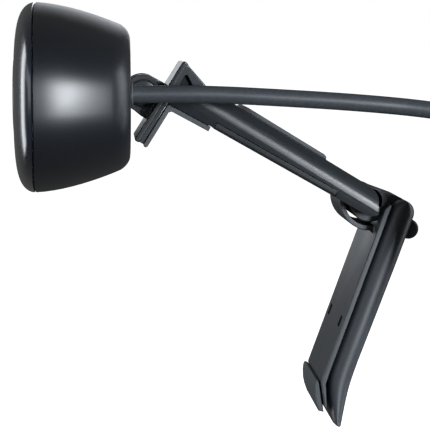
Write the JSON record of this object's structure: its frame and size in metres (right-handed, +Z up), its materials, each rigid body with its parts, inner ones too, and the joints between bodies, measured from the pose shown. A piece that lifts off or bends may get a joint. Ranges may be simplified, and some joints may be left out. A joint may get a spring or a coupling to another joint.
{
  "type": "clip-on camera",
  "caption": "Small wide-headed USB camera on a folding screen clip: tilting oval head, hooked arm, hinged rear flap and a cord tied in a hank.",
  "frame": {"origin": "middle of the seat: the flat underside of the grip pad that rests on a screen's top edge", "axes": "+Z up, -X the way the lens looks, +X back along the clip's arm, +Y across the head's width toward the camera's own right"},
  "size_m": [0.1022, 0.0757, 0.0836],
  "materials": {
    "gloss_black": "polished",
    "satin_black": "fine spark texture, satin",
    "dark_grey_plastic": "satin",
    "soft_rubber": "matt",
    "lens_glass": "coated",
    "steel": "bright",
    "board_green": "solder mask",
    "chip_black": "moulded",
    "socket_white": "moulded",
    "cord_black": "satin"
  },
  "bodies": {
    "clip": {"clip_frame": "dark_grey_plastic", "arm_bottom_plate": "dark_grey_plastic", "arm_top_strip": "soft_rubber", "grip_pad": "soft_rubber", "tilt_pin": "steel", "pin_cap_left": "dark_grey_plastic", "pin_cap_right": "dark_grey_plastic", "tilt_washer_left": "steel", "tilt_washer_right": "steel", "flap_pin": "steel", "plate_screw_front": "steel", "plate_screw_rear": "steel"},
    "head": {"front_bezel": "gloss_black", "face_plate": "gloss_black", "lens_ring": "gloss_black", "lens_window": "lens_glass", "lens_barrel": "chip_black", "front_lens": "lens_glass", "lens_holder": "chip_black", "image_sensor": "chip_black", "main_board": "board_green", "controller_chip": "chip_black", "clock_crystal": "steel", "lead_socket": "socket_white", "inner_lead": "cord_black", "microphone": "steel", "microphone_boot": "soft_rubber", "status_led": "socket_white", "light_pipe": "lens_glass", "board_screw_left": "steel", "board_screw_right": "steel", "rear_shell": "satin_black", "tilt_bracket": "dark_grey_plastic", "bracket_screw_left": "steel", "bracket_screw_right": "steel", "cord_grommet": "soft_rubber", "usb_cord": "cord_black", "cord_hank": "cord_black", "cord_tie": "soft_rubber", "cord_tail": "cord_black", "plug_relief": "cord_black", "plug_body": "cord_black", "plug_shell": "steel", "plug_tongue": "socket_white"},
    "flap": {"flap_shell": "dark_grey_plastic", "flap_inner_plate": "dark_grey_plastic", "toe_pad": "soft_rubber", "rest_bar": "soft_rubber"}
  },
  "joints": [
    {"name": "head_tilt", "type": "hinge", "parent": "clip", "child": "head", "pos_m": [-0.00775, 0, 0.0046], "axis": [0, 1, 0], "range_deg": [0, 40]},
    {"name": "flap_fold", "type": "hinge", "parent": "clip", "child": "flap", "pos_m": [0.03054, 0, -0.01353], "axis": [0, 1, 0], "range_deg": [-80, 94]}
  ]
}
